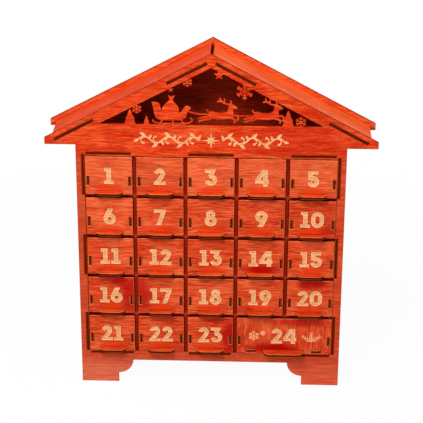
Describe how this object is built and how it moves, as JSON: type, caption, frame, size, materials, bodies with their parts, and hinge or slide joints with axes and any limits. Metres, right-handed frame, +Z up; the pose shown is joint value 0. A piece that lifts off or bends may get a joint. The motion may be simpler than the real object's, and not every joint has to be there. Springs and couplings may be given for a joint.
{
  "type": "advent calendar",
  "caption": "House-shaped plywood advent calendar: a gabled case with a fretted gable scene, and numbered drawers with tongue pulls that slide out of the front.",
  "frame": {"origin": "on the table, under the middle of the bounding box", "axes": "+Z up, +X to the right as seen by someone facing the drawers, -Y out of the front, the way the drawers open"},
  "size_m": [0.334, 0.0654, 0.3686],
  "materials": {
    "stained_panel": "birch plywood, red-orange stain, satin, charred laser-cut edges",
    "roof_board": "birch plywood, red-orange stain, satin",
    "inner_board": "birch plywood, darker red stain, matt, charred laser-cut edges",
    "drawer_front": "birch plywood, red-orange stain, satin, pale engraved number",
    "drawer_tray": "birch plywood, red-orange stain, satin"
  },
  "bodies": {
    "case": {"front_panel": "stained_panel", "back_panel": "stained_panel", "left_wall": "stained_panel", "right_wall": "stained_panel", "bottom_board": "inner_board", "top_board_and_dividers": "inner_board", "shelf_1": "inner_board", "shelf_2": "inner_board", "shelf_3": "inner_board", "shelf_4": "inner_board", "roof_left": "roof_board", "roof_right": "roof_board"},
    "drawer_01": {"drawer_01_front": "drawer_front", "drawer_01_tray": "drawer_tray"},
    "drawer_02": {"drawer_02_front": "drawer_front", "drawer_02_tray": "drawer_tray"},
    "drawer_03": {"drawer_03_front": "drawer_front", "drawer_03_tray": "drawer_tray"},
    "drawer_04": {"drawer_04_front": "drawer_front", "drawer_04_tray": "drawer_tray"},
    "drawer_05": {"drawer_05_front": "drawer_front", "drawer_05_tray": "drawer_tray"},
    "drawer_06": {"drawer_06_front": "drawer_front", "drawer_06_tray": "drawer_tray"},
    "drawer_07": {"drawer_07_front": "drawer_front", "drawer_07_tray": "drawer_tray"},
    "drawer_08": {"drawer_08_front": "drawer_front", "drawer_08_tray": "drawer_tray"},
    "drawer_09": {"drawer_09_front": "drawer_front", "drawer_09_tray": "drawer_tray"},
    "drawer_10": {"drawer_10_front": "drawer_front", "drawer_10_tray": "drawer_tray"},
    "drawer_11": {"drawer_11_front": "drawer_front", "drawer_11_tray": "drawer_tray"},
    "drawer_12": {"drawer_12_front": "drawer_front", "drawer_12_tray": "drawer_tray"},
    "drawer_13": {"drawer_13_front": "drawer_front", "drawer_13_tray": "drawer_tray"},
    "drawer_14": {"drawer_14_front": "drawer_front", "drawer_14_tray": "drawer_tray"},
    "drawer_15": {"drawer_15_front": "drawer_front", "drawer_15_tray": "drawer_tray"},
    "drawer_16": {"drawer_16_front": "drawer_front", "drawer_16_tray": "drawer_tray"},
    "drawer_17": {"drawer_17_front": "drawer_front", "drawer_17_tray": "drawer_tray"},
    "drawer_18": {"drawer_18_front": "drawer_front", "drawer_18_tray": "drawer_tray"},
    "drawer_19": {"drawer_19_front": "drawer_front", "drawer_19_tray": "drawer_tray"},
    "drawer_20": {"drawer_20_front": "drawer_front", "drawer_20_tray": "drawer_tray"},
    "drawer_21": {"drawer_21_front": "drawer_front", "drawer_21_tray": "drawer_tray"},
    "drawer_22": {"drawer_22_front": "drawer_front", "drawer_22_tray": "drawer_tray"},
    "drawer_23": {"drawer_23_front": "drawer_front", "drawer_23_tray": "drawer_tray"},
    "drawer_24": {"drawer_24_front": "drawer_front", "drawer_24_tray": "drawer_tray"}
  },
  "joints": [
    {"name": "drawer_01_slide", "type": "slide", "parent": "case", "child": "drawer_01", "axis": [0, -1, 0], "range_m": [0, 0.0458]},
    {"name": "drawer_02_slide", "type": "slide", "parent": "case", "child": "drawer_02", "axis": [0, -1, 0], "range_m": [0, 0.0458]},
    {"name": "drawer_03_slide", "type": "slide", "parent": "case", "child": "drawer_03", "axis": [0, -1, 0], "range_m": [0, 0.0458]},
    {"name": "drawer_04_slide", "type": "slide", "parent": "case", "child": "drawer_04", "axis": [0, -1, 0], "range_m": [0, 0.0458]},
    {"name": "drawer_05_slide", "type": "slide", "parent": "case", "child": "drawer_05", "axis": [0, -1, 0], "range_m": [0, 0.0458]},
    {"name": "drawer_06_slide", "type": "slide", "parent": "case", "child": "drawer_06", "axis": [0, -1, 0], "range_m": [0, 0.0458]},
    {"name": "drawer_07_slide", "type": "slide", "parent": "case", "child": "drawer_07", "axis": [0, -1, 0], "range_m": [0, 0.0458]},
    {"name": "drawer_08_slide", "type": "slide", "parent": "case", "child": "drawer_08", "axis": [0, -1, 0], "range_m": [0, 0.0458]},
    {"name": "drawer_09_slide", "type": "slide", "parent": "case", "child": "drawer_09", "axis": [0, -1, 0], "range_m": [0, 0.0458]},
    {"name": "drawer_10_slide", "type": "slide", "parent": "case", "child": "drawer_10", "axis": [0, -1, 0], "range_m": [0, 0.0458]},
    {"name": "drawer_11_slide", "type": "slide", "parent": "case", "child": "drawer_11", "axis": [0, -1, 0], "range_m": [0, 0.0458]},
    {"name": "drawer_12_slide", "type": "slide", "parent": "case", "child": "drawer_12", "axis": [0, -1, 0], "range_m": [0, 0.0458]},
    {"name": "drawer_13_slide", "type": "slide", "parent": "case", "child": "drawer_13", "axis": [0, -1, 0], "range_m": [0, 0.0458]},
    {"name": "drawer_14_slide", "type": "slide", "parent": "case", "child": "drawer_14", "axis": [0, -1, 0], "range_m": [0, 0.0458]},
    {"name": "drawer_15_slide", "type": "slide", "parent": "case", "child": "drawer_15", "axis": [0, -1, 0], "range_m": [0, 0.0458]},
    {"name": "drawer_16_slide", "type": "slide", "parent": "case", "child": "drawer_16", "axis": [0, -1, 0], "range_m": [0, 0.0458]},
    {"name": "drawer_17_slide", "type": "slide", "parent": "case", "child": "drawer_17", "axis": [0, -1, 0], "range_m": [0, 0.0458]},
    {"name": "drawer_18_slide", "type": "slide", "parent": "case", "child": "drawer_18", "axis": [0, -1, 0], "range_m": [0, 0.0458]},
    {"name": "drawer_19_slide", "type": "slide", "parent": "case", "child": "drawer_19", "axis": [0, -1, 0], "range_m": [0, 0.0458]},
    {"name": "drawer_20_slide", "type": "slide", "parent": "case", "child": "drawer_20", "axis": [0, -1, 0], "range_m": [0, 0.0458]},
    {"name": "drawer_21_slide", "type": "slide", "parent": "case", "child": "drawer_21", "axis": [0, -1, 0], "range_m": [0, 0.0458]},
    {"name": "drawer_22_slide", "type": "slide", "parent": "case", "child": "drawer_22", "axis": [0, -1, 0], "range_m": [0, 0.0458]},
    {"name": "drawer_23_slide", "type": "slide", "parent": "case", "child": "drawer_23", "axis": [0, -1, 0], "range_m": [0, 0.0458]},
    {"name": "drawer_24_slide", "type": "slide", "parent": "case", "child": "drawer_24", "axis": [0, -1, 0], "range_m": [0, 0.0458]}
  ]
}
